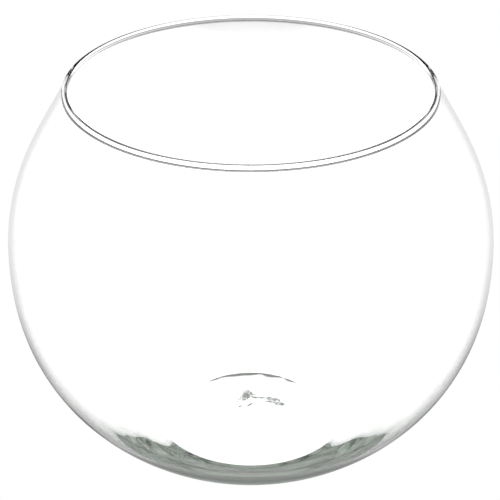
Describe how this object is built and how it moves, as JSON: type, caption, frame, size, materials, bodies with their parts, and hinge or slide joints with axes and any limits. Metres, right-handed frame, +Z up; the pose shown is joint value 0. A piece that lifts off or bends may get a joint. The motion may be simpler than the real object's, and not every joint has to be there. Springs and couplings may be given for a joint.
{
  "type": "glass ball vase",
  "caption": "Round clear glass ball vase, open at the top through a wide mouth with a rounded lip, with a thick floor and a flat ring to stand on.",
  "frame": {"origin": "centre of the flat ring that the vase stands on, on the table plane", "axes": "+Z up along the vase's axis of revolution; +X and +Y are any two level directions at right angles"},
  "size_m": [0.25, 0.25, 0.2034],
  "materials": {
    "clear_glass": "fire-polished, clear, faintly grey-green where the glass is thick"
  },
  "bodies": {
    "root": {"glass_bowl": "clear_glass"}
  },
  "joints": []
}
